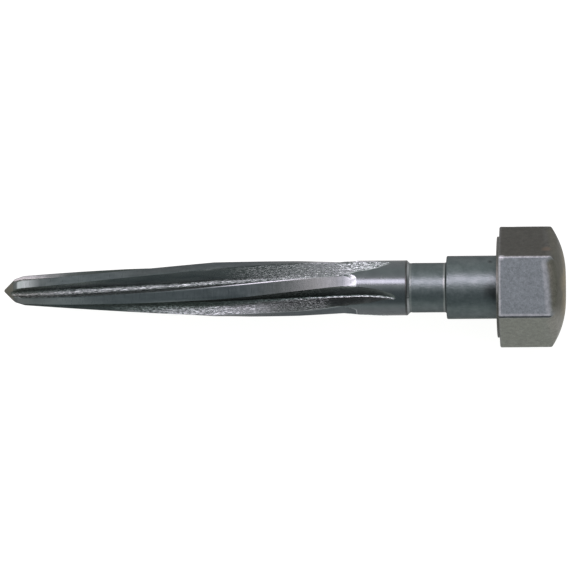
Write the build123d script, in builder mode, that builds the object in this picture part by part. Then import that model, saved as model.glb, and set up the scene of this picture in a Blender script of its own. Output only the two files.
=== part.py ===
"""Taper bridge reamer with a hexagon drive head.

A spiral-fluted cutter opens and lines up bolt holes in structural steel.  It is driven by
an impact wrench through the hexagon head.  All sizes are in millimetres.

Frame: the tool's axis is X, with the point towards -X and the drive head towards +X.
The origin is on the axis, in the plane of the head's washer face.  One hexagon flat
faces +Z and one faces -Z.  Angles round the axis are measured from +Z towards +Y.
"""

from build123d import *

import os
from math import asin, cos, degrees, radians, sin, tan

# ---------------------------------------------------------------- driving dimensions

# Fluted cutter: axial stations are negative, measured from the washer face.
cut_diameter = 20.0
tip_x = -179.5
point_length = 4.0
point_radius = 4.2
lead_end_x = -171.7
lead_end_radius = 5.5
taper_end_x = -102.7
lands_end_x = -50.7
flutes_end_x = -36.9
guide_end_x = -32.7
guide_chamfer = 1.0

# Flutes and lands: a left-hand spiral for a right-hand cut.
tooth_angles = (0, 73, 144, 215, 285)   # unequal spacing, which stops the teeth chattering
spiral_rate = 0.503              # degrees of turn for each millimetre along the axis
edge_angle_at_lands_end = 31.4   # where the front tooth's cutting edge stands
# Bottom of a flute: share of the outside radius, and angle above the cutting edge.
flute_bottom = ((0.669, 6.1), (0.600, 10.7), (0.579, 18.0), (0.612, 25.3))
land_width = 4.7
land_depth = 0.45
lead_land_width = 3.0
land_overrun = 3.0               # degrees that the land grinding runs past the land, each way
tooth_overcut = 0.06             # how far a flute's walls run on past the outside, as a share
outside_clearance = 3.0          # how far cutting tools stand out past the outside

# Shank: a turned neck and a thicker collar under the head.
neck_diameter = 18.0
neck_fillet = 0.6
collar_start_x = -18.3
collar_diameter = 22.9
collar_edge_break = 0.4
spigot_diameter = 16.0
spigot_length = 14.0
spigot_chamfer = 0.8
seat_length = 3.45               # 45 degree seat between the collar's rim and the spigot

# Drive head: a hexagon with a washer face and a domed crown.
across_flats = 38.1
washer_diameter = 36.6
washer_thickness = 0.85
head_height = 24.7
corner_radius = 0.9
heel_edge_radius = 0.5
shoulder_radius = 1.0
crown_flat_radius = 5.0
crown_radius = 30.2
crown_rim_radius = 22.5

# ---------------------------------------------------------------- worked-out sizes

cut_radius = cut_diameter / 2
neck_radius = neck_diameter / 2
collar_radius = collar_diameter / 2
spigot_radius = spigot_diameter / 2
tooth_count = len(tooth_angles)
neck_start_x = guide_end_x + guide_chamfer


def outside_radius(x):
    """Radius over the teeth of the cutter at the station x."""
    if x >= taper_end_x:
        return cut_radius
    share = (x - lead_end_x) / (taper_end_x - lead_end_x)
    return lead_end_radius + share * (cut_radius - lead_end_radius)


def edge_angle(x):
    """Angle of the front tooth's cutting edge at the station x."""
    return edge_angle_at_lands_end + spiral_rate * (x - lands_end_x)


def land_angle(x):
    """Angle that a land takes up at the station x."""
    share = min(1.0, max(0.0, (x - lead_end_x) / (taper_end_x - lead_end_x)))
    width = lead_land_width + share * (land_width - lead_land_width)
    return degrees(width / outside_radius(x))


def cross_plane(x):
    """Plane across the axis at x: its first axis is +Z and its second is +Y."""
    return Plane(origin=(x, 0, 0), x_dir=(0, 0, 1), z_dir=(-1, 0, 0))


def polar(radius, angle):
    """Point of a cross plane from its radius and angle."""
    return (radius * cos(radians(angle)), radius * sin(radians(angle)))


def flute_outline(x, lift, tooth, pitch):
    """Corners of the flute between a tooth and the next one at x, raised outwards by lift."""
    radius = outside_radius(x)
    edge = edge_angle(x) + tooth
    heel = edge + pitch - land_angle(x)
    bottom = [polar(radius * ratio + lift, edge + angle) for ratio, angle in flute_bottom]
    edge_point = polar(radius + lift, edge)
    heel_point = polar(radius + lift, heel)
    edge_past = tuple(p + tooth_overcut * (p - q) for p, q in zip(edge_point, bottom[0]))
    heel_past = tuple(p + tooth_overcut * (p - q) for p, q in zip(heel_point, bottom[-1]))
    outer = radius + lift + outside_clearance
    return bottom + [heel_past, polar(outer, heel), polar(outer, edge), edge_past]


def land_outline(x):
    """Corners of the strip ground off the front tooth at x."""
    radius = outside_radius(x)
    middle = edge_angle(x) - land_angle(x) / 2
    half = land_angle(x) / 2 + land_overrun
    inner = radius - land_depth
    outer = radius + outside_clearance
    side = inner * tan(radians(half))
    corners = [(inner, side), (outer, side), (outer, -side), (inner, -side)]
    turn = radians(middle)
    return [(u * cos(turn) - v * sin(turn), u * sin(turn) + v * cos(turn)) for u, v in corners]


# ---------------------------------------------------------------- cutting tools

flute_start_x = tip_x - 2.0
flute_stations = [
    (flute_start_x, 0.0),
    (lead_end_x, 0.0),
    (-150.0, 0.0),
    (-126.0, 0.0),
    (taper_end_x, 0.0),
    (-80.0, 0.0),
    (-60.0, 0.0),
    (lands_end_x, 0.75),
    (-44.0, 2.1),
    (-40.0, 3.2),
    (flutes_end_x, 4.3),
]

flute_tools = []
for tooth_number, tooth_angle in enumerate(tooth_angles):
    next_tooth = tooth_angles[(tooth_number + 1) % tooth_count]
    tooth_pitch = (next_tooth - tooth_angle) % 360
    with BuildPart() as flute_tool:
        for station, lift in flute_stations:
            with BuildSketch(cross_plane(station)):
                with BuildLine():
                    Polyline(*flute_outline(station, lift, tooth_angle, tooth_pitch), close=True)
                make_face()
        loft()
    flute_tools.append(flute_tool.part)

land_stations = [flute_start_x, lead_end_x, -150.0, -126.0, taper_end_x, -76.0, lands_end_x]

with BuildPart() as land_tool:
    for station in land_stations:
        with BuildSketch(cross_plane(station)):
            with BuildLine():
                Polyline(*land_outline(station), close=True)
            make_face()
    loft()

# ---------------------------------------------------------------- fluted cutter

with BuildPart() as fluted_cutter:
    with BuildSketch(Plane.XZ):
        with BuildLine():
            Polyline(
                (tip_x, 0),
                (tip_x + point_length, point_radius),
                (lead_end_x, lead_end_radius),
                (taper_end_x, cut_radius),
                (guide_end_x, cut_radius),
                (neck_start_x, neck_radius),
                (neck_start_x, 0),
                close=True,
            )
        make_face()
    revolve(axis=Axis.X)
    for tooth_angle, flute in zip(tooth_angles, flute_tools):
        add(flute, mode=Mode.SUBTRACT)
        add(land_tool.part.rotate(Axis.X, -tooth_angle), mode=Mode.SUBTRACT)
fluted_cutter.part.label = "fluted_cutter"

# ---------------------------------------------------------------- shank

with BuildPart() as shank:
    with BuildSketch(Plane.XZ):
        with BuildLine():
            Polyline(
                (neck_start_x, 0),
                (neck_start_x, neck_radius),
                (collar_start_x, neck_radius),
                (collar_start_x, collar_radius),
                (0, collar_radius),
                (seat_length, spigot_radius),
                (spigot_length, spigot_radius),
                (spigot_length, 0),
                close=True,
            )
        make_face()
    revolve(axis=Axis.X)
    round_edges = shank.edges().filter_by(GeomType.CIRCLE)
    neck_root = round_edges.filter_by_position(Axis.X, collar_start_x - 0.01, collar_start_x + 0.01)
    fillet(neck_root.sort_by(SortBy.RADIUS)[0], radius=neck_fillet)
    round_edges = shank.edges().filter_by(GeomType.CIRCLE)
    collar_rim = round_edges.filter_by_position(Axis.X, collar_start_x - 0.01, collar_start_x + 0.01)
    chamfer(collar_rim.sort_by(SortBy.RADIUS)[-1], length=collar_edge_break)
    spigot_end = shank.edges().filter_by(GeomType.CIRCLE).sort_by(Axis.X)[-1]
    chamfer(spigot_end, length=spigot_chamfer)
shank.part.label = "shank"

# ---------------------------------------------------------------- drive head

crown_rim_angle = asin((crown_rim_radius - crown_flat_radius) / crown_radius)


def crown_point(angle):
    """Point on the crown's arc where its slope is the angle given in radians."""
    drop = crown_radius * (1 - cos(angle))
    return (head_height - drop, crown_flat_radius + crown_radius * sin(angle))


crown_start = crown_point(0)
crown_middle = crown_point(crown_rim_angle / 2)
crown_rim = crown_point(crown_rim_angle)

with BuildPart() as drive_head:
    with BuildSketch(Plane.YZ.offset(washer_thickness)):
        RegularPolygon(radius=across_flats / 2, side_count=6, major_radius=False, rotation=0)
    extrude(amount=head_height)
    fillet(drive_head.edges().filter_by(Axis.X), radius=corner_radius)
    with BuildSketch(Plane.XZ):
        with BuildLine():
            Line((washer_thickness, 0), (head_height, 0))
            Line((head_height, 0), crown_start)
            ThreePointArc(crown_start, crown_middle, crown_rim)
            Line(crown_rim, (washer_thickness, crown_rim[1]))
            Line((washer_thickness, crown_rim[1]), (washer_thickness, 0))
        make_face()
    revolve(axis=Axis.X, mode=Mode.INTERSECT)
    crown_face = drive_head.faces().sort_by(Axis.X)[-2]
    fillet(crown_face.edges().filter_by(GeomType.BSPLINE), radius=shoulder_radius)
    underside = drive_head.faces().sort_by(Axis.X)[0]
    fillet(underside.edges(), radius=heel_edge_radius)
    with BuildSketch(Plane.YZ):
        Circle(washer_diameter / 2)
    extrude(amount=washer_thickness)
    with BuildSketch(Plane.XZ):
        with BuildLine():
            Polyline(
                (0, 0),
                (0, collar_radius),
                (seat_length, spigot_radius),
                (spigot_length, spigot_radius),
                (spigot_length, 0),
                close=True,
            )
        make_face()
    revolve(axis=Axis.X, mode=Mode.SUBTRACT)
drive_head.part.label = "drive_head"

# ---------------------------------------------------------------- written pieces

os.makedirs("parts", exist_ok=True)
for piece in (fluted_cutter, shank, drive_head):
    export_step(piece.part, f"parts/{piece.part.label}.step")
    box = piece.part.bounding_box()
    print(piece.part.label, len(piece.part.solids()), round(piece.part.volume), box.min, box.max)
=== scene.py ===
"""Looks of the taper bridge reamer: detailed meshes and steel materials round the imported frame.

Sizes are in millimetres until a mesh is written, and angles round the tool's axis are in
degrees from +Z towards +Y.  The tool's axis is X, with its point towards -X.
"""

from math import atan2, cos, hypot, pi, radians, sin, sqrt, tan

import bpy
from mathutils import Matrix, Vector, noise


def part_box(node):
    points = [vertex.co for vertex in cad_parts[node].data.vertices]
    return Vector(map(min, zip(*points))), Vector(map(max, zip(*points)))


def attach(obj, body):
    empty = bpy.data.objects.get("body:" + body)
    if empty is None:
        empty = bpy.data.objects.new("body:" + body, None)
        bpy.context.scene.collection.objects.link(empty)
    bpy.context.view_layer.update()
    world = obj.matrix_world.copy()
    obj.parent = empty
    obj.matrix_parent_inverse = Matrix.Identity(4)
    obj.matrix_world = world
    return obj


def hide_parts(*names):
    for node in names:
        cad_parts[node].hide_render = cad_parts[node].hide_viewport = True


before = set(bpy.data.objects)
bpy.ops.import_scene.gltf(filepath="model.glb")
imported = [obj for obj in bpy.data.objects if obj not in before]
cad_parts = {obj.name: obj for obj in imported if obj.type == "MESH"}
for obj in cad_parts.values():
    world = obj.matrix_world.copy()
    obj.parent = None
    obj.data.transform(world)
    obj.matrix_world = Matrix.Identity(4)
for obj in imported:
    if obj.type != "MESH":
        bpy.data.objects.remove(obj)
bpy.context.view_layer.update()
MM = 0.001


def node_box(name):
    """Lowest and highest corners of a CAD node, in millimetres."""
    low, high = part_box(name)
    return [v / MM for v in low], [v / MM for v in high]


cutter_low, cutter_high = node_box("fluted_cutter")
_, shank_high = node_box("shank")
_, head_high = node_box("drive_head")

# ------------------------------------------------------------------ sizes, in millimetres

tip_x = cutter_low[0]
neck_start_x = cutter_high[0]
cut_radius = cutter_high[1]
collar_radius = shank_high[1]
spigot_end_x = shank_high[0]
head_end_x = head_high[0]
flat_distance = head_high[2]

point_end_x = tip_x + 4.0
point_radius = 4.36
point_blunt = 0.5
lead_end_x = tip_x + 7.3
lead_end_radius = 5.45
taper_end_x = tip_x + 76.8
relief_start_x = -72.0
lands_end_x = -50.7
land_corner_run = 4.7
land_ramp = 2.4
margin_angle = 2.2
flutes_end_x = -36.9
guide_chamfer = 1.0
guide_end_x = neck_start_x - guide_chamfer
neck_radius = 9.0
relieved_radius = cut_radius - 0.42

tooth_offsets = (0.0, 73.0, 144.0, 215.0, 285.0)
TOOTH_COUNT = len(tooth_offsets)
edge_angle_at_lands_end = 31.4
spiral_rate = 0.503


def mix(a, b, t):
    """Value a share t of the way from a to b."""
    return a + (b - a) * t


def clamp01(t):
    """t held between 0 and 1."""
    return min(1.0, max(0.0, t))


def smooth(t):
    """Smooth step from 0 to 1 for t from 0 to 1."""
    t = clamp01(t)
    return t * t * (3 - 2 * t)


def share(x, start, end):
    """How far x is from start to end, held between 0 and 1."""
    return clamp01((x - start) / (end - start))


def band(x, rise_start, rise_end, fall_start, fall_end):
    """Rises from 0 to 1 between the first two places and falls back between the last two."""
    return share(x, rise_start, rise_end) * (1 - share(x, fall_start, fall_end))


def past_land(x):
    """1 where a flute runs on beside the plain length past the lands, and 0 elsewhere."""
    return band(x, -57.0, -54.0, -39.5, -38.5)


def curve(x, points):
    """Height at x of a straight-sided line through a few (x, height) points."""
    if x <= points[0][0]:
        return points[0][1]
    for (x0, h0), (x1, h1) in zip(points, points[1:]):
        if x <= x1:
            return mix(h0, h1, (x - x0) / (x1 - x0))
    return points[-1][1]


# ------------------------------------------------------------------ fluted cutter


def tooth_radius(x):
    """Radius over the cutting edges at x, behind the point."""
    lead = mix(point_radius, lead_end_radius, (x - point_end_x) / (lead_end_x - point_end_x))
    taper = mix(lead_end_radius, cut_radius, (x - lead_end_x) / (taper_end_x - lead_end_x))
    relieved = mix(cut_radius, relieved_radius, share(x, relief_start_x, lands_end_x - 4))
    return min(lead, taper, relieved)


def taper_radius(x):
    """Radius of the tooth's taper at x, without the lead."""
    taper = mix(lead_end_radius, cut_radius, (x - lead_end_x) / (taper_end_x - lead_end_x))
    return min(taper, cut_radius)


def edge_angle(x):
    """Angle of the front tooth's cutting edge at x, which steepens a little near the lands' end."""
    return edge_angle_at_lands_end + spiral_rate * (x - lands_end_x) + 1.2 * share(x, -90, -60)


def land_span(x):
    """Angle that a land takes up at x."""
    return curve(x, ((tip_x, 33.0), (-159, 31.0), (-143, 27.8), (-90, 27.6), (-57, 25.2)))


# Run-out of each flute: how far its lower and upper boundaries turn away from the tooth
# edges and where its bottom lies above the cutting edge, as (x, degrees) points.
runout_upper_pocket = {
    "end": -38.0,
    "low": ((-56.5, 0), (-54.5, 1), (-52.5, 2.6), (-50, 6.4), (-46.4, 7.5), (-42.7, 12.5),
            (-39.1, 22.9), (-38, 25.7)),
    "high": ((-56, 0), (-48, 5.3), (-42.7, 11.5), (-39.5, 18), (-38, 23)),
    "bottom": ((-172, 7.5), (-145, 11.8), (-57, 11.8), (-50, 13), (-46.4, 14.5), (-42.7, 19),
               (-39.1, 27), (-38, 29)),
}
runout_lower_pocket = {
    "end": -36.7,
    "low": ((-68, 0), (-62, 1.5), (-57, 4), (-53, 6.5), (-50, 7), (-46.4, 7.5), (-42.7, 11),
            (-39, 11.8), (-36.7, 11.3)),
    "high": ((-56, 0), (-50, 4.5), (-46.4, 9), (-42.7, 14.5), (-39.8, 21), (-37.3, 28),
             (-36.7, 32)),
    "bottom": ((-78, 11.8), (-57, 13.2), (-50, 16.5), (-46.4, 17), (-42.7, 16.5), (-39, 15),
               (-36.7, 13)),
}
flute_runouts = (runout_upper_pocket, runout_lower_pocket, runout_upper_pocket,
                 runout_upper_pocket, runout_lower_pocket)

LAND_COLUMNS = 20
MARGIN_COLUMNS = 3
LOW_WALL_COLUMNS = 8
FILLET_COLUMNS = 8
HIGH_WALL_COLUMNS = 10
bottom_share = 0.515
bottom_fillet = 0.15
bottom_fillet_at_point = 0.25
bottom_fillet_at_pocket = 0.07
heel_round = 0.28


def section_point(radius, angle):
    """(height, side) of a point across the axis: height along +Z, side along +Y."""
    return (radius * cos(radians(angle)), radius * sin(radians(angle)))


def land_end(angle, span):
    """Where a land ends, at an angle measured from its cutting edge."""
    turn = share(angle, -span / 2, 0.0)
    return lands_end_x - land_corner_run * (1 - sqrt(max(0.0, 1 - turn * turn)))


def land_surface_radius(x, angle):
    """Radius at x of the land, or of the plain guide length behind it.

    The angle is measured from the land's cutting edge.
    """
    span = land_span(x)
    edge = tooth_radius(x)
    half, middle = (span - margin_angle) / 2, -(span + margin_angle) / 2
    flat = edge * cos(radians(half)) / cos(radians(angle - middle))
    flat = min(flat, edge)
    rounded = share(x, -135, -118) * share(x, -90, -104)
    flat -= heel_round * (1 - share(angle, -span, -span + 8)) ** 2 * rounded
    if x < -60:
        return flat
    end = land_end(angle, span)
    ramp = share(x, end - land_ramp, end)
    return mix(min(flat, cut_radius), cut_radius, ramp)


def flute_shape(x, flute):
    """Angles of a flute's lower edge, bottom and upper edge at x, and its bottom's radius."""
    runout = flute_runouts[flute]
    edge = edge_angle(x) + tooth_offsets[flute]
    turns = flute + 1 == TOOTH_COUNT
    next_edge = edge_angle(x) + (360.0 if turns else tooth_offsets[flute + 1])
    low = edge + curve(x, runout["low"])
    high = next_edge - land_span(x) - curve(x, runout["high"])
    bottom = edge + curve(x, runout["bottom"])
    rise = share(x, -60.0, runout["end"]) ** 2
    bottom_radius = mix(bottom_share * taper_radius(x), cut_radius, rise)
    if x > runout["end"] - 0.01:
        end = edge_angle(runout["end"]) + tooth_offsets[flute] + runout["bottom"][-1][1]
        low, bottom, high = end - 1.2, end, end + 1.2
    bottom = min(max(bottom, low + 0.3), high - 0.3)
    return low, bottom, high, bottom_radius


def trimmed(bottom, top, radius):
    """Point on the line from the flute's bottom through top that lies at a radius."""
    along = top - bottom
    a, b, c = along.dot(along), 2 * bottom.dot(along), bottom.dot(bottom) - radius * radius
    return bottom + along * ((sqrt(max(0.0, b * b - 4 * a * c)) - b) / (2 * a))


def flute_section(p_low, p_bottom, p_high, fillet):
    """Points and depths of a flute from its lower edge, round its filleted bottom, upwards."""
    low, bottom, high = p_low, p_bottom, p_high
    to_low, to_high = low - bottom, high - bottom
    low_length, high_length = max(to_low.length, 1e-5), max(to_high.length, 1e-5)
    to_low, to_high = to_low / low_length, to_high / high_length
    opening = max(0.2, min(pi - 0.02, to_low.angle(to_high, pi / 2)))
    reach = fillet / tan(opening / 2)
    reach = min(reach, 0.8 * low_length, 0.8 * high_length)
    start, end = bottom + to_low * reach, bottom + to_high * reach
    out = []
    for i in range(LOW_WALL_COLUMNS):
        t = i / LOW_WALL_COLUMNS
        out.append((low.lerp(start, t ** 1.2), t))
    bisector = (to_low + to_high).normalized()
    centre = bottom + bisector * (reach / cos(opening / 2))
    radius = (start - centre).length
    for i in range(FILLET_COLUMNS):
        t = i / FILLET_COLUMNS
        chord = start.lerp(end, t) - centre
        out.append((centre + chord.normalized() * radius, 1.0))
    for i in range(HIGH_WALL_COLUMNS):
        t = i / HIGH_WALL_COLUMNS
        out.append((end.lerp(high, t), 1.0 - 0.5 * t))
    return [((p[0], p[1]), depth) for p, depth in out]


def cutter_row(x):
    """Points (height, side), zones and depths of one row round the cutter at x."""
    shapes = [flute_shape(x, flute) for flute in range(TOOTH_COUNT)]
    row = []
    for tooth in range(TOOTH_COUNT):
        wrap = 360.0 if tooth == 0 else 0.0
        heel = shapes[tooth - 1][2] - wrap
        low, bottom, high, bottom_radius = shapes[tooth]
        edge = edge_angle(x) + tooth_offsets[tooth]
        next_tooth = (tooth + 1) % TOOTH_COUNT
        next_edge = edge_angle(x) + (tooth_offsets[next_tooth] or 360.0)
        for i in range(LAND_COLUMNS):
            margin_start = low - margin_angle
            flat_columns = LAND_COLUMNS - MARGIN_COLUMNS
            if i < flat_columns:
                angle = mix(heel, margin_start, i / flat_columns)
            else:
                angle = mix(margin_start, low, (i - flat_columns) / MARGIN_COLUMNS)
            radius = land_surface_radius(x, angle - edge)
            row.append((section_point(radius, angle), "land", angle - edge))
        low_radius = land_surface_radius(x, low - edge)
        high_radius = land_surface_radius(x, high - next_edge)
        if x > flute_runouts[tooth]["end"] - 0.01:
            bottom_radius = cut_radius
        full = taper_radius(x)
        p_bottom = Vector(section_point(min(bottom_radius, low_radius), bottom))
        p_low = trimmed(p_bottom, Vector(section_point(full, low)), low_radius)
        p_high = trimmed(p_bottom, Vector(section_point(full, high)), high_radius)
        fillet = mix(bottom_fillet_at_point, bottom_fillet, share(x, -155, -118))
        if flute_runouts[tooth] is runout_lower_pocket:
            fillet = mix(fillet, bottom_fillet_at_pocket, share(x, -95, -70))
        for point, depth in flute_section(p_low, p_bottom, p_high, fillet * full):
            row.append((point, "flute", depth))
    return row


def cutter_stations():
    """Stations along the axis, closer together where the shape changes quickly."""
    stations = []
    for start, end, count in (
        (tip_x + 0.03, tip_x + 0.15, 3),
        (tip_x + 0.15, point_end_x, 10),
        (point_end_x, lead_end_x, 10),
        (lead_end_x, -57.0, 240),
        (-57.0, -49.6, 74),
        (-49.6, -36.2, 64),
        (-36.2, guide_end_x - 0.45, 8),
    ):
        stations += [mix(start, end, i / count) for i in range(count)]
    stations += [guide_end_x - 0.45, guide_end_x, guide_end_x + 0.25, neck_start_x - 0.1, neck_start_x]
    return stations


def row_limit(x):
    """Largest radius allowed at x by the point's cone, the guide's end and its chamfer."""
    cone = mix(point_blunt, point_radius, (x - tip_x - 0.15) / (point_end_x - tip_x - 0.15))
    if x < tip_x + 0.15:
        cone = min(cone, point_blunt * share(x, tip_x - 0.05, tip_x + 0.15) ** 0.5)
    chamfer = mix(cut_radius, neck_radius, (x - guide_end_x) / guide_chamfer)
    return min(cone, chamfer, cut_radius)


def scale_height(x, height, side):
    """Forged unevenness of the flutes at a point, in millimetres."""
    p = Vector((x, height, side))
    broad = noise.noise(p * 0.22) * 0.10 + noise.noise(p * 0.7) * 0.05
    fine = noise.noise(p * 2.1 + Vector((9, 2, 5))) * 0.035
    return broad + fine


def make_mesh(name, points, faces, zones=None, masks=None, sharp=24):
    """A mesh object from points in millimetres.

    Zones give a material index for each face, and masks a named number for each point.
    """
    mesh = bpy.data.meshes.new(name)
    mesh.from_pydata([[c * MM for c in p] for p in points], [], faces)
    mesh.update()
    if zones:
        mesh.polygons.foreach_set("material_index", zones)
    mesh.polygons.foreach_set("use_smooth", [True] * len(mesh.polygons))
    mesh.set_sharp_from_angle(angle=radians(sharp))
    for mask, values in (masks or {}).items():
        mesh.attributes.new(mask, "FLOAT", "POINT").data.foreach_set("value", values)
    piece = bpy.data.objects.new(name, mesh)
    bpy.context.scene.collection.objects.link(piece)
    return piece


# How worn the lead of each tooth is, from the front tooth on.
lead_wear = (0.1, 1.0, 0.5, 0.5, 0.3)
# Painted highlight (sheen) and painted shade along the cutter, as (x, amount) points.  They
# even out how the light falls on the side that faces the camera.
front_tooth_sheen = ((-170, 0.0), (-158, 0.17), (-145, 0.13), (-125, 0.16), (-108, 0.1), (-95, 0.0))
front_tooth_shade = ((-92, 0.0), (-80, 0.6), (-66, 0.8), (-58, 0.6), (-53, 0.1))
upper_tooth_shade = ((-140, 0.0), (-128, 0.3), (-112, 0.3), (-100, 0.0))
heel_shade = ((-165, 0.0), (-150, 0.45), (-125, 0.8), (-108, 0.5), (-95, 0.0))
rake_shade = ((-106, 0.0), (-92, 0.5), (-84, 0.35), (-76, 0.55), (-64, 0.3), (-50, 0.0))
# Brightness of neighbouring streaks in the upper run-outs.
streaks = (2.2, 0.05, 1.1, 0.1)


def land_masks(x, tooth, column, angle):
    """(polish and painted highlight, scaly, painted shade) of a point on a land, or on the plain length
    behind it.
    """
    # Past its dark strip the chamfer at the guide's end takes a painted highlight.
    if x > guide_end_x + 0.2:
        return 0.6, 0.0, 0.0
    lower_pocket = flute_runouts[tooth] is runout_lower_pocket
    end = land_end(angle, land_span(x))
    # Painted highlight along each land's end and on the land towards it.
    outline = 1 - share(abs(x - end), 0.1, 0.4) if angle < 1 else 0.0
    end_highlight = 0.26 * share(x, -55.5, -53.0) + 0.3 * share(x, end - land_ramp, end - 1.0)
    end_highlight = end_highlight if x < end and tooth < 4 else 0.0
    lead = lead_wear[tooth] * band(x, -174.6, -174.2, -173.0, -166.0)
    polish_and_highlight = max(lead, end_highlight, 0.8 * outline)
    if column >= LAND_COLUMNS - 2:
        burr = 0.0 if lower_pocket else past_land(x)
        polish_and_highlight = max(polish_and_highlight, burr, 0.5 * band(x, -110, -95, -58, -56))
    # The front tooth takes the painted highlight and painted shade of the tables above, and the tooth
    # above it their painted shade.
    if tooth == 0:
        return max(polish_and_highlight, curve(x, front_tooth_sheen)), 0.0, curve(x, front_tooth_shade)
    return polish_and_highlight, 0.0, curve(x, upper_tooth_shade) if tooth == 1 else 0.0


def flute_masks(x, flute, k):
    """(polish and painted highlight, scaly, painted shade) of point k across a flute."""
    lower_pocket = flute_runouts[flute] is runout_lower_pocket
    pocket = share(x, -66.0, -58.0)
    near_tip = 1 - share(x, -166.0, -150.0)
    streak = streaks[k % 4] * band(x, -60.0, -50.0, -39.5, -38.5)
    if k < LOW_WALL_COLUMNS:
        if lower_pocket:
            # Below the front tooth: painted highlight in bright flecks on the scale, and painted shade
            # on the wall and in the flute's bottom.
            fleck_highlight = 0.75 * band(x, -142, -118, -102, -80)
            scaly = mix(0.15, 1.0, share(x, -145, -130)) * (1.0 - pocket)
            shade = max(share(k, 4, 7) * curve(x, heel_shade), curve(x, rake_shade))
            return max(fleck_highlight, 0.12 * pocket), scaly, shade
        # Painted highlight along the rim beside the plain length and as a sheen part way along.
        rim = 2.0 * past_land(x) * (1 - share(k, 0.5, 2.0))
        sheen = 0.14 * band(x, -160, -150, -110, -98)
        return max(rim, streak, sheen, 0.5 * near_tip), 1.0, 0.0
    k -= LOW_WALL_COLUMNS
    bell = smooth(1 - abs(2 * k / FILLET_COLUMNS - 1))
    if k <= FILLET_COLUMNS:
        if lower_pocket:
            # Painted highlight along the bottom of the flute below the front tooth.
            line = 1.6 * bell ** 2 * share(x, -95, -60)
            return line, mix(1.0, 0.4, pocket), curve(x, heel_shade)
        # Painted highlight along the filleted bottom of the other flutes.
        return max(bell * mix(0.1, 0.55, share(x, -165, -135)), streak), 1.0, 0.0
    rough = smooth(share(x, -108.0, -82.0))
    # Painted shade on the upper wall of the flute below the front tooth.
    if lower_pocket:
        return 0.0, rough * (1 - 0.6 * pocket), curve(x, heel_shade)
    return streak, max(rough, near_tip), 0.0


def make_cutter():
    """The fluted cutter as one closed mesh with zones for land, flute, guide and point."""
    stations = cutter_stations()
    # The polish mask carries wear on the leads and painted highlight; the shade mask carries painted
    # shade.
    masks = {"polish_and_highlight": [0.0], "scaly": [0.0], "shade": [0.0]}
    points, faces, zones = [(tip_x, 0.0, 0.0)], [], []
    zone_of = {"land": 0, "flute": 1, "guide": 2, "point": 3, "corner": 4}
    rows = []
    for x in stations:
        row = cutter_row(max(x, point_end_x - 1.2))
        limit = row_limit(x)
        placed = []
        for (height, side), kind, depth in row:
            radius = hypot(height, side)
            if kind == "flute" and 0 < depth and x < flutes_end_x + 3:
                cover = min(1.0, depth * 2.5) * share(x, point_end_x - 1, point_end_x + 3)
                fade = 1 - smooth(share(x, flutes_end_x - 5, flutes_end_x))
                radius += scale_height(x, height, side) * cover * fade
            angle = atan2(side, height)
            kept = min(radius, limit)
            on_cone = radius >= limit - 1e-6 and x < point_end_x + 0.1
            placed.append((x, kept * sin(angle), kept * cos(angle), kind, on_cone, depth))
        rows.append(placed)
        per_tooth = len(placed) // TOOTH_COUNT
        for column, point in enumerate(placed):
            tooth, across = divmod(column, per_tooth)
            if across < LAND_COLUMNS:
                values = land_masks(x, tooth, across, point[5])
            else:
                values = flute_masks(x, tooth, across - LAND_COLUMNS)
            for mask, value in zip(masks, values):
                masks[mask].append(value)
    columns = len(rows[0])
    for row in rows:
        points += [(p[0], p[1], p[2]) for p in row]
    for j in range(columns):
        faces.append((0, 1 + (j + 1) % columns, 1 + j))
        zones.append(zone_of["point"])
    for i in range(len(rows) - 1):
        x = (stations[i] + stations[i + 1]) / 2
        for j in range(columns):
            k = (j + 1) % columns
            a, b = 1 + i * columns, 1 + (i + 1) * columns
            faces.append((a + j, a + k, b + k, b + j))
            kind = rows[i][j][3]
            if rows[i][j][4] and rows[i + 1][j][4]:
                kind = "point"
            elif kind == "land":
                tooth, column = divmod(j, per_tooth)
                burr = column >= LAND_COLUMNS - 2 and flute_runouts[tooth] is runout_upper_pocket
                if x > land_end(rows[i][j][5], land_span(x)) and not (burr and x < -38.5):
                    kind = "guide"
            elif x > flute_runouts[j // per_tooth]["end"]:
                kind = "guide"
            # A strip at the guide's end takes the near-black painted-shade material, and the chamfer
            # past it the land's material.
            if guide_end_x - 0.45 < x:
                kind = "corner" if x < guide_end_x + 0.25 else "land"
            zones.append(zone_of[kind])
    last = 1 + (len(rows) - 1) * columns
    points.append((neck_start_x, 0.0, 0.0))
    for j in range(columns):
        faces.append((last + j, last + (j + 1) % columns, len(points) - 1))
        zones.append(zone_of["guide"])
    for values in masks.values():
        values.append(0.0)
    return make_mesh("cutter", points, faces, zones, masks)


def lathe(name, profile, columns, ring_masks):
    """A closed turned mesh from (x, radius) points that start and end on the axis.

    The ring masks give a named number for each point of the profile.
    """
    points, faces = [(profile[0][0], 0.0, 0.0)], []
    rings = profile[1:-1]
    for x, radius in rings:
        for j in range(columns):
            turn = 2 * pi * j / columns
            points.append((x, radius * sin(turn), radius * cos(turn)))
    for j in range(columns):
        faces.append((0, 1 + (j + 1) % columns, 1 + j))
    for i in range(len(rings) - 1):
        for j in range(columns):
            k = (j + 1) % columns
            a, b = 1 + i * columns, 1 + (i + 1) * columns
            faces.append((a + j, a + k, b + k, b + j))
    points.append((profile[-1][0], 0.0, 0.0))
    last = 1 + (len(rings) - 1) * columns
    for j in range(columns):
        faces.append((last + j, last + (j + 1) % columns, len(points) - 1))
    masks = {}
    for mask, values in ring_masks.items():
        spread = [value for value in values[1:-1] for _ in range(columns)]
        masks[mask] = [values[0]] + spread + [values[-1]]
    return make_mesh(name, points, faces, masks=masks)


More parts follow.
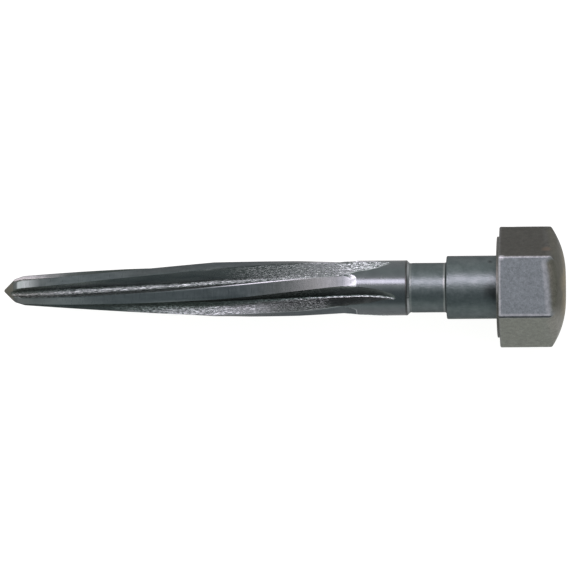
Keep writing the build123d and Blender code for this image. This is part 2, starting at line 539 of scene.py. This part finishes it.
def arc(centre, radius, start, end, count):
    """Points (x, radius) of an arc about centre, from one angle to another in degrees."""
    angles = [mix(start, end, i / count) for i in range(count + 1)]
    return [(centre[0] + radius * cos(radians(a)), centre[1] + radius * sin(radians(a)))
            for a in angles]


def run(start, end, count):
    """Points along a straight run of a profile, without its last point."""
    return [(mix(start[0], end[0], i / count), mix(start[1], end[1], i / count))
            for i in range(count)]


def make_shank():
    """The turned neck and collar, with the spigot that goes into the head."""
    start, collar_x = neck_start_x, -18.3
    groove, root, rim = 0.45, 0.8, 0.35
    profile = [(start, 0.0)]
    profile += run((start, 4.0), (start, neck_radius), 2)
    profile += run((start, neck_radius), (start + groove, neck_radius - 0.12), 3)
    profile += run((start + groove, neck_radius - 0.12), (start + 1.0, neck_radius), 4)
    profile += run((start + 1.0, neck_radius), (collar_x - root, neck_radius), 60)
    profile += arc((collar_x - root, neck_radius + root), root, 270, 360, 10)
    profile += [(collar_x, collar_radius - rim - 0.3)]
    profile += arc((collar_x + rim, collar_radius - rim), rim, 180, 90, 6)
    profile += run((collar_x + rim, collar_radius), (-0.12, collar_radius), 40)[1:]
    profile += [(-0.12, collar_radius), (0.0, collar_radius - 0.12), (0.0, 8.2), (0.0, 8.0)]
    profile += [(spigot_end_x - 0.8, 8.0), (spigot_end_x, 7.2), (spigot_end_x, 0.0)]
    glint, shade = [], []
    for x, radius in profile:
        near_cutter = 1 - share(abs(x - (start + groove)), 0.15, 0.4)
        near_collar = 1 - share(abs(x - (collar_x - root)), 0.15, 0.45)
        glint.append(max(0.35 * near_cutter, 0.7 * near_collar))
        shade.append(band(x, collar_x - root + 0.3, collar_x - 0.3, collar_x, collar_x + 0.4))
    return lathe("shank_turned", profile, 192, {"glint": glint, "shade": shade})


# ------------------------------------------------------------------ drive head


SIDE_COLUMNS = 52
HEEL_ROWS = 6
FLANK_ROWS = 34
SHOULDER_ROWS = 14
CROWN_ROWS = 26
half_side = 11.0


def hexagon_radius(angle, corner):
    """Radius of a hexagon with rounded corners at an angle, with a flat at angle 0."""
    local = (angle + 30) % 60 - 30
    apothem = flat_distance
    centre = (apothem - corner) / cos(radians(30))
    off = 30 - abs(local)
    edge = apothem / cos(radians(local))
    reach = centre * cos(radians(off))
    inside = corner * corner - (centre * sin(radians(off))) ** 2
    if inside <= 0:
        return edge
    rounded = reach + sqrt(inside)
    tangent = apothem * tan(radians(30)) - corner * tan(radians(30))
    return rounded if abs(apothem * tan(radians(local))) > tangent else edge


def crown_height(radius):
    """Drop of the domed crown below its end plane at a radius."""
    dome_radius, flat = 30.2, 5.0
    return dome_radius - sqrt(dome_radius ** 2 - max(0.0, radius - flat) ** 2)


# Tone of the scale on each of the six flats, from the front one towards +Y, with painted light and
# shade, darker towards +Y and lighter towards -Y; and how bright the wear and painted glints on its
# shoulder and at its foot are.
side_tones_lit = ((0.134, 0.152, 0.161), (0.055, 0.055, 0.048), (0.085, 0.087, 0.083),
              (0.11, 0.115, 0.115), (0.10, 0.10, 0.094), (0.215, 0.222, 0.195))
underside_tone = (0.10, 0.102, 0.092)
side_wear_and_glint = (1.0, 0.15, 0.4, 0.8, 0.4, 0.15)


def head_masks(x, side, turn, flank_end, radius, rho):
    """(wear and glints, dark line on the lower arris, crown, rim) of a head point from where it lies on
    its flat or crown.
    """
    on_flat = (1 - share(x, flank_end + 0.6, flank_end + 2.0)) * share(radius, rho - 1.4, rho - 0.8)
    # Bright arrises, and the shoulder and foot of each flat: wear and painted glints.
    arris = (1 - share((1 - abs(turn)) * half_side, 0.05, 0.5)) * on_flat * 0.75
    lower_arris = (1 + turn) * half_side if side == 0 else (1 - turn) * half_side + 0.2
    if side == 0 and turn < 0:
        arris = (1 - share(abs(lower_arris - 0.75), 0.1, 0.5)) * on_flat * 0.6
    shoulder = band(x, flank_end - 0.2, flank_end + 0.5, flank_end + 1.0, flank_end + 2.6)
    foot = (1 - share(x, 1.45, 1.8)) * share(radius, rho - 1.0, rho - 0.3)
    wear_and_glint = max(arris, max(shoulder * 0.34, foot * 0.8) * side_wear_and_glint[side])
    # A dark line along the lower arris of the front flat.
    lower_arris_dark = (1 - share(lower_arris, 0.25, 0.6)) * on_flat if side in (0, 5) else 0.0
    if lower_arris_dark > 0.0:
        wear_and_glint = min(wear_and_glint, 1 - lower_arris_dark)
    crown = smooth(share(x, flank_end + 0.8, flank_end + 3.2))
    rim = smooth(1 - share(radius, 8.5, 17.0))
    return wear_and_glint, lower_arris_dark, crown, rim


def make_head():
    """The hexagon head: washer face, rounded hexagon, shoulder rounded by wear, and domed crown."""
    washer, washer_radius, corner = 0.85, 18.3, 0.9
    columns = []
    for side in range(6):
        for i in range(SIDE_COLUMNS):
            t = i / SIDE_COLUMNS * 2 - 1
            local = 30 * (abs(t) ** 0.5) * (1 if t >= 0 else -1)
            columns.append(side * 60 + local)
    columns.sort()
    points, faces, tones = [], [], []
    masks = {"wear_and_glint": [], "lower_arris_dark": [], "crown": [], "rim": []}
    rows = []
    for angle in columns:
        rho = hexagon_radius(angle, corner)
        turn = ((angle + 30) % 60 - 30) / 30
        local = abs(turn)
        heel = mix(0.5, 0.6, local)
        wear = min(1.0, (1 - local ** 6) * (1 + 0.4 * turn))
        shoulder_in, shoulder_along = mix(0.5, 1.9, wear), mix(0.5, 4.2, wear)
        line = [(spigot_end_x, 8.0), (1.0, 8.0), (0.0, 8.0), (0.0, 11.4), (0.0, washer_radius - 0.12)]
        line += [(0.05, washer_radius - 0.03), (0.12, washer_radius), (washer, washer_radius)]
        line += [(washer, washer_radius + 0.1), (washer, rho - heel)]
        for i in range(1, HEEL_ROWS + 1):
            bend = radians(90 * i / HEEL_ROWS)
            line.append((washer + heel * (1 - cos(bend)), rho - heel * (1 - sin(bend))))
        flank_end = head_end_x - crown_height(rho) - shoulder_along
        line += run((washer + heel, rho), (flank_end, rho), FLANK_ROWS)[1:]
        a = (flank_end, rho)
        b = (head_end_x - crown_height(rho), rho)
        c_radius = rho - shoulder_in
        c = (head_end_x - crown_height(c_radius), c_radius)
        for i in range(SHOULDER_ROWS + 1):
            t = i / SHOULDER_ROWS
            line.append(tuple((1 - t) ** 2 * p + 2 * t * (1 - t) * q + t * t * r
                              for p, q, r in zip(a, b, c)))
        for i in range(1, CROWN_ROWS):
            radius = c_radius * (1 - i / CROWN_ROWS)
            line.append((head_end_x - crown_height(radius), radius))
        rows.append((angle, turn, flank_end, rho, line))
    count = len(rows[0][4])
    for angle, turn, flank_end, rho, line in rows:
        side = int((angle + 30) % 360 // 60)
        for x, radius in line:
            y = radius * sin(radians(angle))
            p = Vector((x, y, radius * cos(radians(angle))))
            if x > 2 and radius > 9:
                bump = noise.noise(p * 0.16) * 0.10 + noise.noise(p * 0.6 + Vector((3, 1, 8))) * 0.03
                inward = p - Vector((10, 0, 0))
                p = p - inward.normalized() * max(0.0, bump) * share(x, 2, 4)
            points.append(tuple(p))
            blend = share(x, 0.9, 1.3)
            tones.append([mix(a, b, blend) for a, b in zip(underside_tone, side_tones_lit[side])])
            for mask, value in zip(masks, head_masks(x, side, turn, flank_end, radius, rho)):
                masks[mask].append(value)
    total = len(rows)
    for j in range(total):
        k = (j + 1) % total
        for i in range(count - 1):
            faces.append((j * count + i, j * count + i + 1, k * count + i + 1, k * count + i))
    bottom, top = len(points), len(points) + 1
    points += [(spigot_end_x, 0.0, 0.0), (head_end_x, 0.0, 0.0)]
    tones += [side_tones_lit[0]] * 2
    for mask, value in zip(masks, (0.0, 0.0, 1.0, 1.0)):
        masks[mask] += [0.0, value]
    for j in range(total):
        k = (j + 1) % total
        faces.append((bottom, j * count, k * count))
        faces.append((top, k * count + count - 1, j * count + count - 1))
    head = make_mesh("head_forged", points, faces, masks=masks)
    flat_tones = [value for tone in tones for value in (*tone, 1.0)]
    head.data.attributes.new("tone", "FLOAT_COLOR", "POINT").data.foreach_set("color", flat_tones)
    return head


# ------------------------------------------------------------------ materials


class Nodes:
    """Small helper that builds one node material."""

    def __init__(self, name):
        self.material = bpy.data.materials.new(name)
        self.material.use_nodes = True
        self.tree = self.material.node_tree
        self.shader = self.tree.nodes["Principled BSDF"]
        self.place = self.add("ShaderNodeTexCoord").outputs["Object"]

    def add(self, kind, **settings):
        """A node with its properties and unlinked inputs set by name."""
        node = self.tree.nodes.new(kind)
        for key, value in settings.items():
            if hasattr(node, key):
                setattr(node, key, value)
            else:
                node.inputs[key.replace("_", " ")].default_value = value
        return node

    def link(self, source, target):
        """Connects an output to an input."""
        self.tree.links.new(source, target)

    def scaled(self, scale):
        """Object coordinates in millimetres, stretched by a scale for each axis."""
        node = self.add("ShaderNodeMapping")
        node.inputs["Scale"].default_value = [s / MM for s in scale]
        self.link(self.place, node.inputs["Vector"])
        return node.outputs["Vector"]

    def grain(self, scale, detail=3.0, rough=0.55):
        """Noise whose features are about one over the scale in millimetres."""
        node = self.add("ShaderNodeTexNoise", Detail=detail, Roughness=rough)
        node.inputs["Scale"].default_value = 1.0
        self.link(self.scaled(scale), node.inputs["Vector"])
        return node.outputs["Fac"]

    def ramp(self, source, stops):
        """Colour ramp through (position, colour) stops."""
        node = self.add("ShaderNodeValToRGB")
        ramp = node.color_ramp
        while len(ramp.elements) < len(stops):
            ramp.elements.new(0.5)
        for element, (position, colour) in zip(ramp.elements, stops):
            element.position = position
            element.color = (*colour, 1.0)
        self.link(source, node.inputs["Fac"])
        return node.outputs["Color"]

    def mottle(self, factor, colour, source, low, high=1.0):
        """The colour multiplied by a grey that goes from low to high with the source."""
        greys = self.ramp(source, ((0.3, (low,) * 3), (0.7, (high,) * 3)))
        return self.blend("MULTIPLY", factor, colour, greys)

    def mask(self, name, output="Fac"):
        """Number or colour that the mesh carries at each point."""
        return self.add("ShaderNodeAttribute", attribute_name=name).outputs[output]

    def times(self, first, second):
        """Product of two outputs, or of an output and a number."""
        node = self.add("ShaderNodeMath", operation="MULTIPLY")
        for value, target in ((first, node.inputs[0]), (second, node.inputs[1])):
            if isinstance(value, (int, float)):
                target.default_value = value
            else:
                self.link(value, target)
        return node.outputs["Value"]

    def near(self, point_mm, reach_mm, wobble):
        """1 near a point of the object, fading to 0 at its reach, with a wobbling edge."""
        node = self.add("ShaderNodeVectorMath", operation="DISTANCE")
        node.inputs[1].default_value = [c * MM for c in point_mm]
        self.link(self.place, node.inputs[0])
        spread = self.span(wobble, 0.6 * reach_mm * MM, 1.3 * reach_mm * MM)
        share_far = self.add("ShaderNodeMath", operation="DIVIDE")
        self.link(node.outputs["Value"], share_far.inputs[0])
        self.link(spread, share_far.inputs[1])
        return self.span(share_far.outputs["Value"], 1.0, 0.0, 0.2, 1.0)

    def near_point(self, colour, factor):
        """The colour with an olive oxide tint that fades out behind the tool's point."""
        place = self.add("ShaderNodeSeparateXYZ")
        self.link(self.place, place.inputs["Vector"])
        tint = self.span(place.outputs["X"], factor, 0.0, tip_x * MM, (tip_x + 22) * MM)
        return self.blend("MIX", tint, colour, (0.085, 0.082, 0.066))

    def span(self, source, low, high, start=0.3, end=0.7):
        """Number from low to high as the source goes from start to end."""
        node = self.add("ShaderNodeMapRange")
        names = ("From Min", "From Max", "To Min", "To Max")
        for key, value in zip(names, (start, end, low, high)):
            node.inputs[key].default_value = value
        self.link(source, node.inputs["Value"])
        return node.outputs["Result"]

    def blend(self, kind, factor, first, second):
        """Mixes two colours; the factor may be a number or an output."""
        node = self.add("ShaderNodeMix", data_type="RGBA", blend_type=kind)
        inputs = (node.inputs["Factor"], node.inputs[6], node.inputs[7])
        for value, target in zip((factor, first, second), inputs):
            if isinstance(value, (int, float)):
                target.default_value = value
            elif isinstance(value, tuple):
                target.default_value = (*value, 1.0)
            else:
                self.link(value, target)
        return node.outputs[2]

    def bump(self, source, height_mm, strength=1.0, under=None):
        """Bump from a height source, with its height in millimetres."""
        node = self.add("ShaderNodeBump")
        node.inputs["Strength"].default_value = strength
        node.inputs["Distance"].default_value = height_mm * MM
        self.link(source, node.inputs["Height"])
        if under is not None:
            self.link(under, node.inputs["Normal"])
        return node.outputs["Normal"]

    def finish(self, colour, roughness, normal, metallic, specular=0.5):
        """Wires the shader and returns the material."""
        self.link(colour, self.shader.inputs["Base Color"])
        self.link(roughness, self.shader.inputs["Roughness"])
        self.link(normal, self.shader.inputs["Normal"])
        self.shader.inputs["Metallic"].default_value = metallic
        self.shader.inputs["Specular IOR Level"].default_value = specular
        self.shader.inputs["Specular Tint"].default_value = (0.45, 0.45, 0.45, 1)
        return self.material


def turned_base(n, dark, light, speckle):
    """Cloud and colour of turned steel, which is darker in its speckle."""
    cloud = n.grain((0.35, 0.35, 0.35), 3.0)
    colour = n.ramp(cloud, ((0.3, dark), (0.7, light)))
    return cloud, n.mottle(0.35, colour, speckle, 0.55)


def turned_bump(n, speckle, speckle_mm, line_mm):
    """Rings round the axis over a fine speckle."""
    rings = n.grain((7.0, 0.05, 0.05), 2.0)
    return n.bump(rings, line_mm, under=n.bump(speckle, speckle_mm))


def turned_steel(name, dark, light, rough_low, rough_high, speckle_mm, line_mm):
    """Satin turned steel under a softer sheen."""
    n = Nodes(name)
    speckle = n.grain((4.5, 4.5, 4.5), 3.0, 0.7)
    _, colour = turned_base(n, dark, light, speckle)
    n.shader.inputs["Coat Weight"].default_value = 0.5
    n.shader.inputs["Coat Roughness"].default_value = 0.42
    normal = turned_bump(n, speckle, speckle_mm, line_mm)
    return n.finish(colour, n.span(speckle, rough_low, rough_high), normal, 0.94)


def shank_steel():
    """The shank: turned steel with glints and shade at its corners and darker patches by the head."""
    glint_tone, shade_tone, patch_tone = (0.3, 0.305, 0.295), (0.02, 0.023, 0.023), (0.02, 0.021, 0.022)
    # Darker patches on the collar by the head, as (place, reach) in millimetres.
    dark_patches = (((-1.8, -0.8, 11.4), 4.2), ((-0.8, -3.0, 11.1), 3.6), ((-2.4, 9.2, 6.8), 1.1))
    n = Nodes("turned_shank")
    speckle = n.grain((1.3, 1.3, 1.3), 3.0, 0.75)
    cloud, colour = turned_base(n, (0.080, 0.096, 0.098), (0.110, 0.128, 0.130), speckle)
    colour = n.blend("MIX", n.times(n.mask("glint"), 0.6), colour, glint_tone)
    colour = n.blend("MIX", n.times(n.mask("shade"), 0.75), colour, shade_tone)
    for place, reach in dark_patches:
        colour = n.blend("MIX", n.times(n.near(place, reach, cloud), 0.62), colour, patch_tone)
    normal = turned_bump(n, speckle, 0.07, 0.002)
    return n.finish(colour, n.span(speckle, 0.34, 0.44), normal, 0.94)


def ground_steel():
    """Ground lands: smooth blue-grey with faint marks across the tool."""
    n = Nodes("ground_land")
    marks = n.grain((3.2, 0.25, 0.25), 3.0, 0.6)
    fine = n.grain((14.0, 0.6, 0.6), 2.0)
    cloud = n.grain((0.25, 0.5, 0.5), 3.0)
    colour = n.ramp(cloud, ((0.3, (0.070, 0.081, 0.087)), (0.7, (0.098, 0.111, 0.116))))
    colour = n.mottle(0.4, colour, marks, 0.7)
    colour = n.near_point(colour, 0.4)
    # Painted shade, then polish and painted highlight, from the masks that the mesh carries.
    colour = n.blend("MIX", n.times(n.mask("shade"), 0.9), colour, (0.035, 0.038, 0.032))
    colour = n.blend("MIX", n.times(n.mask("polish_and_highlight"), 0.95), colour, (0.34, 0.36, 0.365))
    roughness = n.span(marks, 0.26, 0.38)
    normal = n.bump(marks, 0.004)
    normal = n.bump(fine, 0.0015, under=normal)
    return n.finish(colour, roughness, normal, 0.94)


def flute_steel():
    """Forged flutes: streaked near the point, rough scale with light grains further back, and painted
    shade and painted highlight in bright grains where the mesh asks for them.
    """
    n = Nodes("forged_flute")
    scaly = n.mask("scaly")
    streaks = n.grain((0.09, 0.8, 0.8), 3.0, 0.6)
    coarse = n.grain((0.45, 0.9, 0.9), 3.0, 0.6)
    flecks = n.grain((0.9, 2.7, 2.7), 3.0, 0.7)
    grit = n.grain((4.0, 5.0, 5.0), 3.0, 0.7)
    cloud = n.grain((0.15, 0.4, 0.4), 3.0)
    smoother = n.ramp(streaks, ((0.35, (0.076, 0.086, 0.087)), (0.65, (0.112, 0.121, 0.118))))
    rougher = n.ramp(flecks, (
        (0.40, (0.044, 0.052, 0.051)),
        (0.52, (0.072, 0.082, 0.080)),
        (0.64, (0.15, 0.172, 0.162)),
    ))
    colour = n.blend("MIX", n.times(scaly, 0.9), smoother, rougher)
    colour = n.mottle(0.4, colour, cloud, 0.6)
    # Painted shade, then polish and painted highlight in bright grains, from the masks that the mesh
    # carries.
    colour = n.blend("MIX", n.times(n.mask("shade"), 0.9), colour, (0.018, 0.022, 0.019))
    bright = n.times(n.mask("polish_and_highlight"), n.span(flecks, 0.05, 1.0, 0.45, 0.58))
    colour = n.blend("MIX", bright, colour, (0.39, 0.425, 0.43))
    colour = n.near_point(colour, 0.45)
    height = n.times(scaly, n.span(flecks, 0.0, 1.0, 0.46, 0.62))
    normal = n.bump(n.times(scaly, coarse), 0.09)
    normal = n.bump(height, 0.045, under=normal)
    normal = n.bump(grit, 0.010, under=normal)
    return n.finish(colour, n.span(grit, 0.34, 0.24), normal, 0.94)


def point_steel():
    """The point: olive-brown oxide."""
    n = Nodes("point_oxide")
    grit = n.grain((4.0, 4.0, 4.0), 3.0, 0.6)
    colour = n.ramp(grit, ((0.3, (0.06, 0.06, 0.047)), (0.7, (0.10, 0.096, 0.078))))
    return n.finish(colour, n.span(grit, 0.4, 0.55), n.bump(grit, 0.02), 0.6)


def head_steel():
    """The forged head: a tone for each flat, browner on its crown, with painted light and shade from
    flat to flat and across the crown, and wear and painted glints along its edges.
    """
    n = Nodes("forged_head")
    grit = n.grain((2.6, 2.6, 2.6), 3.0, 0.7)
    coarse = n.grain((0.7, 0.7, 0.7), 4.0, 0.6)
    cloud = n.grain((0.2, 0.2, 0.2), 3.0)
    across = n.add("ShaderNodeSeparateXYZ")
    n.link(n.place, across.inputs["Vector"])
    # Painted light and shade on the crown: darker towards +Y, lighter towards -Y.
    lower = n.span(across.outputs["Y"], 1.0, 0.0, -0.0125, -0.0065)
    crown = n.blend("MIX", lower, (0.084, 0.084, 0.068), (0.245, 0.240, 0.215))
    stain = n.times(n.mask("rim"), n.span(cloud, 0.35, 1.0, 0.35, 0.6))
    crown = n.blend("MIX", stain, crown, (0.22, 0.185, 0.11))
    colour = n.blend("MIX", n.mask("crown"), n.mask("tone", "Color"), crown)
    colour = n.mottle(0.7, colour, coarse, 0.6)
    colour = n.mottle(0.7, colour, grit, 0.5, 1.1)
    rust = n.near((18.3, 13.0, 14.0), 2.0, cloud)
    colour = n.blend("MIX", n.times(rust, 0.35), colour, (0.16, 0.10, 0.06))
    # The dark line along the lower arris of the front flat.
    colour = n.blend("MIX", n.times(n.mask("lower_arris_dark"), 0.95), colour, (0.012, 0.016, 0.017))
    # A painted glint on the front flat by the washer face, towards +Y.
    corner = n.near((1.9, 11.0, 19.0), 1.5, cloud)
    colour = n.blend("MIX", n.times(corner, 0.7), colour, (0.34, 0.345, 0.36))
    # Wear and painted glints along the edges.
    wear = n.times(n.mask("wear_and_glint"), n.span(coarse, 0.5, 1.0, 0.3, 0.6))
    colour = n.blend("MIX", wear, colour, (0.26, 0.265, 0.275))
    normal = n.bump(coarse, 0.05)
    normal = n.bump(grit, 0.02, under=normal)
    return n.finish(colour, n.span(grit, 0.40, 0.52), normal, 0.6)


# ------------------------------------------------------------------ pieces

cutter = make_cutter()
guide_material = turned_steel(
    "turned_guide", (0.063, 0.074, 0.079), (0.082, 0.094, 0.099), 0.18, 0.24, 0.003, 0.0015)
# Painted shade: a near-black copy of the turned steel for the strip at the guide's end.
corner_shade_material = turned_steel(
    "corner_painted_shade", (0.02, 0.022, 0.022), (0.035, 0.037, 0.036), 0.4, 0.5, 0.01, 0.002)
for material in (ground_steel(), flute_steel(), guide_material, point_steel(), corner_shade_material):
    cutter.data.materials.append(material)
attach(cutter, "root")
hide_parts("fluted_cutter")

shank = make_shank()
shank.data.materials.append(shank_steel())
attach(shank, "root")
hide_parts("shank")

head = make_head()
head.data.materials.append(head_steel())
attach(head, "root")
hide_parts("drive_head")

# ------------------------------------------------------------------ floor, light and camera


def make_floor():
    """A plain pale floor under the head."""
    half = 3.0
    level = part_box("drive_head")[0][2]
    mesh = bpy.data.meshes.new("floor")
    corners = [(-half, -half, level), (half, -half, level), (half, half, level),
               (-half, half, level)]
    mesh.from_pydata(corners, [], [(0, 1, 2, 3)])
    floor = bpy.data.objects.new("floor", mesh)
    bpy.context.scene.collection.objects.link(floor)
    material = bpy.data.materials.new("pale_floor")
    material.use_nodes = True
    shader = material.node_tree.nodes["Principled BSDF"]
    shader.inputs["Base Color"].default_value = (0.13, 0.13, 0.13, 1)
    shader.inputs["Roughness"].default_value = 0.9
    shader.inputs["Specular IOR Level"].default_value = 0.0
    shader.inputs["Emission Color"].default_value = (1.0, 1.0, 0.99, 1)
    shader.inputs["Emission Strength"].default_value = 0.93
    mesh.materials.append(material)


def area_light(name, direction, distance, size_x, size_y, radiance, colour=(1, 1, 1)):
    """A soft panel that faces the tool's middle from a direction."""
    data = bpy.data.lights.new(name, "AREA")
    data.shape = "RECTANGLE"
    data.size, data.size_y = size_x, size_y
    data.energy = radiance * pi * size_x * size_y
    data.color = colour
    light = bpy.data.objects.new(name, data)
    bpy.context.scene.collection.objects.link(light)
    back = Vector(direction).normalized()
    middle = Vector(((tip_x + head_end_x) / 2 * MM, 0, 0))
    light.location = middle + back * distance
    side = Vector((1, 0, 0))
    up = back.cross(side).normalized()
    side = up.cross(back).normalized()
    light.rotation_mode = "QUATERNION"
    light.rotation_quaternion = Matrix((side, up, back)).transposed().to_quaternion()
    return light


def make_world():
    """A pale room with a darker patch above the near side of the tool."""
    world = bpy.data.worlds.new("studio")
    bpy.context.scene.world = world
    world.use_nodes = True
    tree = world.node_tree
    place = tree.nodes.new("ShaderNodeTexCoord")
    dot = tree.nodes.new("ShaderNodeVectorMath")
    dot.operation = "DOT_PRODUCT"
    dark = radians(-38)
    dot.inputs[1].default_value = (0, sin(dark), cos(dark))
    tree.links.new(place.outputs["Generated"], dot.inputs[0])
    share_dark = tree.nodes.new("ShaderNodeMapRange")
    share_dark.interpolation_type = "SMOOTHSTEP"
    share_dark.inputs["From Min"].default_value = 0.70
    share_dark.inputs["From Max"].default_value = 0.95
    tree.links.new(dot.outputs["Value"], share_dark.inputs["Value"])
    tone = tree.nodes.new("ShaderNodeMix")
    tone.data_type = "RGBA"
    tone.inputs[6].default_value = (1.08, 1.15, 1.12, 1)
    tone.inputs[7].default_value = (0.29, 0.355, 0.37, 1)
    tree.links.new(share_dark.outputs["Result"], tone.inputs["Factor"])
    tree.links.new(tone.outputs[2], tree.nodes["Background"].inputs["Color"])


def make_camera():
    """Looks straight down, leaning a little so that the point lies further away."""
    lean, roll, distance = radians(3.8), radians(-0.45), 2.2
    frame_width = 0.2076
    aim = Vector((-0.07675, 0.0010, 0.0))
    data = bpy.data.cameras.new("camera")
    data.sensor_width = 36.0
    data.lens = data.sensor_width * distance / frame_width
    camera = bpy.data.objects.new("camera", data)
    bpy.context.scene.collection.objects.link(camera)
    back = Vector((sin(lean), 0, cos(lean)))
    up = Vector((0, 1, 0))
    side = up.cross(back).normalized()
    turn = Matrix.Rotation(roll, 3, back)
    side, up = turn @ side, turn @ up
    camera.location = aim + back * distance
    camera.rotation_mode = "QUATERNION"
    camera.rotation_quaternion = Matrix((side, up, back)).transposed().to_quaternion()
    data.clip_start, data.clip_end = 0.01, 20.0
    bpy.context.scene.camera = camera


make_floor()
make_world()
softbox_tilt = radians(27.5)
area_light("softbox", (0, sin(softbox_tilt), cos(softbox_tilt)), 0.9, 1.3, 0.27, 8.8,
           (1.08, 0.91, 1.05))
make_camera()
bpy.context.scene.view_settings.view_transform = "Standard"
